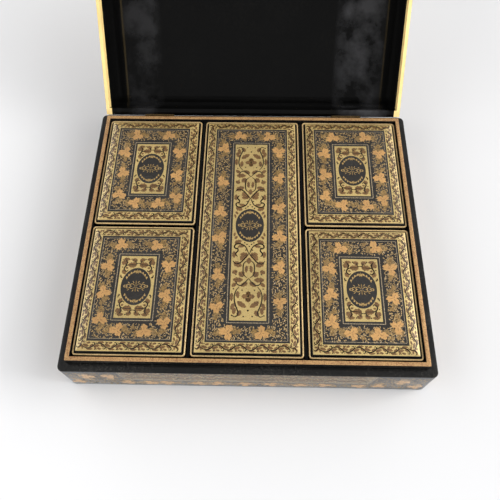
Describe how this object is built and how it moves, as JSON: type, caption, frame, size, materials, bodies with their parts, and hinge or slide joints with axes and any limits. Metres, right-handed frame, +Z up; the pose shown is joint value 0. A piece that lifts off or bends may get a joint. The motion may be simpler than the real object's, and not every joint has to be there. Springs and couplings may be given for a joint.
{
  "type": "games compendium box",
  "caption": "Shallow lacquered games box with a hinged lid, standing open, its base fitted with lidded boxes between two partitions.",
  "frame": {"origin": "on the table, under the middle of the base", "axes": "+Z up, front towards -Y, +X to the right seen from the front"},
  "size_m": [0.378, 0.5809, 0.3017],
  "materials": {
    "decorated_lacquer": "black lacquer with gilt vine pattern, gloss",
    "black_lacquer": "plain black lacquer, gloss",
    "gilt_lip": "worn copper-gold gilding over black lacquer, satin",
    "box_rim": "black lacquer with a gilt bead, gloss",
    "box_panel": "black lacquer with pale and orange gilt ornament, gloss",
    "bare_wood": "stained and waxed wood, matt",
    "brass": "aged brass, satin"
  },
  "bodies": {
    "base": {"base_floor_board": "bare_wood", "base_front_board": "decorated_lacquer", "base_back_board": "decorated_lacquer", "base_left_board": "decorated_lacquer", "base_right_board": "decorated_lacquer", "lip_front": "gilt_lip", "lip_back": "gilt_lip", "lip_left": "gilt_lip", "lip_right": "gilt_lip", "partition_left": "black_lacquer", "partition_right": "black_lacquer", "hinge_left_base_leaf": "brass", "hinge_left_base_screw_a": "brass", "hinge_left_base_screw_b": "brass", "hinge_left_pin": "brass", "hinge_right_base_leaf": "brass", "hinge_right_base_screw_a": "brass", "hinge_right_base_screw_b": "brass", "hinge_right_pin": "brass"},
    "lid": {"lid_top_panel": "decorated_lacquer", "lid_front_board": "decorated_lacquer", "lid_back_board": "decorated_lacquer", "lid_left_board": "decorated_lacquer", "lid_right_board": "decorated_lacquer", "hinge_left_lid_leaf": "brass", "hinge_left_lid_screw_a": "brass", "hinge_left_lid_screw_b": "brass", "hinge_right_lid_leaf": "brass", "hinge_right_lid_screw_a": "brass", "hinge_right_lid_screw_b": "brass"},
    "back_left_box": {"back_left_box_floor": "bare_wood", "back_left_box_walls": "black_lacquer", "back_left_box_liner": "gilt_lip"},
    "back_left_box_lid": {"back_left_box_lid_rim": "box_rim", "back_left_box_lid_panel": "box_panel"},
    "front_left_box": {"front_left_box_floor": "bare_wood", "front_left_box_walls": "black_lacquer", "front_left_box_liner": "gilt_lip"},
    "front_left_box_lid": {"front_left_box_lid_rim": "box_rim", "front_left_box_lid_panel": "box_panel"},
    "long_box": {"long_box_floor": "bare_wood", "long_box_walls": "black_lacquer", "long_box_liner": "gilt_lip"},
    "long_box_lid": {"long_box_lid_rim": "box_rim", "long_box_lid_panel": "box_panel"},
    "back_right_box": {"back_right_box_floor": "bare_wood", "back_right_box_walls": "black_lacquer", "back_right_box_liner": "gilt_lip"},
    "back_right_box_lid": {"back_right_box_lid_rim": "box_rim", "back_right_box_lid_panel": "box_panel"},
    "front_right_box": {"front_right_box_floor": "bare_wood", "front_right_box_walls": "black_lacquer", "front_right_box_liner": "gilt_lip"},
    "front_right_box_lid": {"front_right_box_lid_rim": "box_rim", "front_right_box_lid_panel": "box_panel"}
  },
  "joints": [
    {"name": "lid_hinge", "type": "hinge", "parent": "base", "child": "lid", "pos_m": [0, 0.1643, 0.05015], "axis": [-1, 0, 0], "range_deg": [-129, 0]},
    {"name": "back_left_box_lift", "type": "slide", "parent": "base", "child": "back_left_box", "axis": [0, 0, 1], "range_m": [0, 0.06]},
    {"name": "back_left_box_lid_lift", "type": "slide", "parent": "back_left_box", "child": "back_left_box_lid", "axis": [0, 0, 1], "range_m": [0, 0.03]},
    {"name": "front_left_box_lift", "type": "slide", "parent": "base", "child": "front_left_box", "axis": [0, 0, 1], "range_m": [0, 0.06]},
    {"name": "front_left_box_lid_lift", "type": "slide", "parent": "front_left_box", "child": "front_left_box_lid", "axis": [0, 0, 1], "range_m": [0, 0.03]},
    {"name": "long_box_lift", "type": "slide", "parent": "base", "child": "long_box", "axis": [0, 0, 1], "range_m": [0, 0.06]},
    {"name": "long_box_lid_lift", "type": "slide", "parent": "long_box", "child": "long_box_lid", "axis": [0, 0, 1], "range_m": [0, 0.03]},
    {"name": "back_right_box_lift", "type": "slide", "parent": "base", "child": "back_right_box", "axis": [0, 0, 1], "range_m": [0, 0.06]},
    {"name": "back_right_box_lid_lift", "type": "slide", "parent": "back_right_box", "child": "back_right_box_lid", "axis": [0, 0, 1], "range_m": [0, 0.03]},
    {"name": "front_right_box_lift", "type": "slide", "parent": "base", "child": "front_right_box", "axis": [0, 0, 1], "range_m": [0, 0.06]},
    {"name": "front_right_box_lid_lift", "type": "slide", "parent": "front_right_box", "child": "front_right_box_lid", "axis": [0, 0, 1], "range_m": [0, 0.03]}
  ]
}
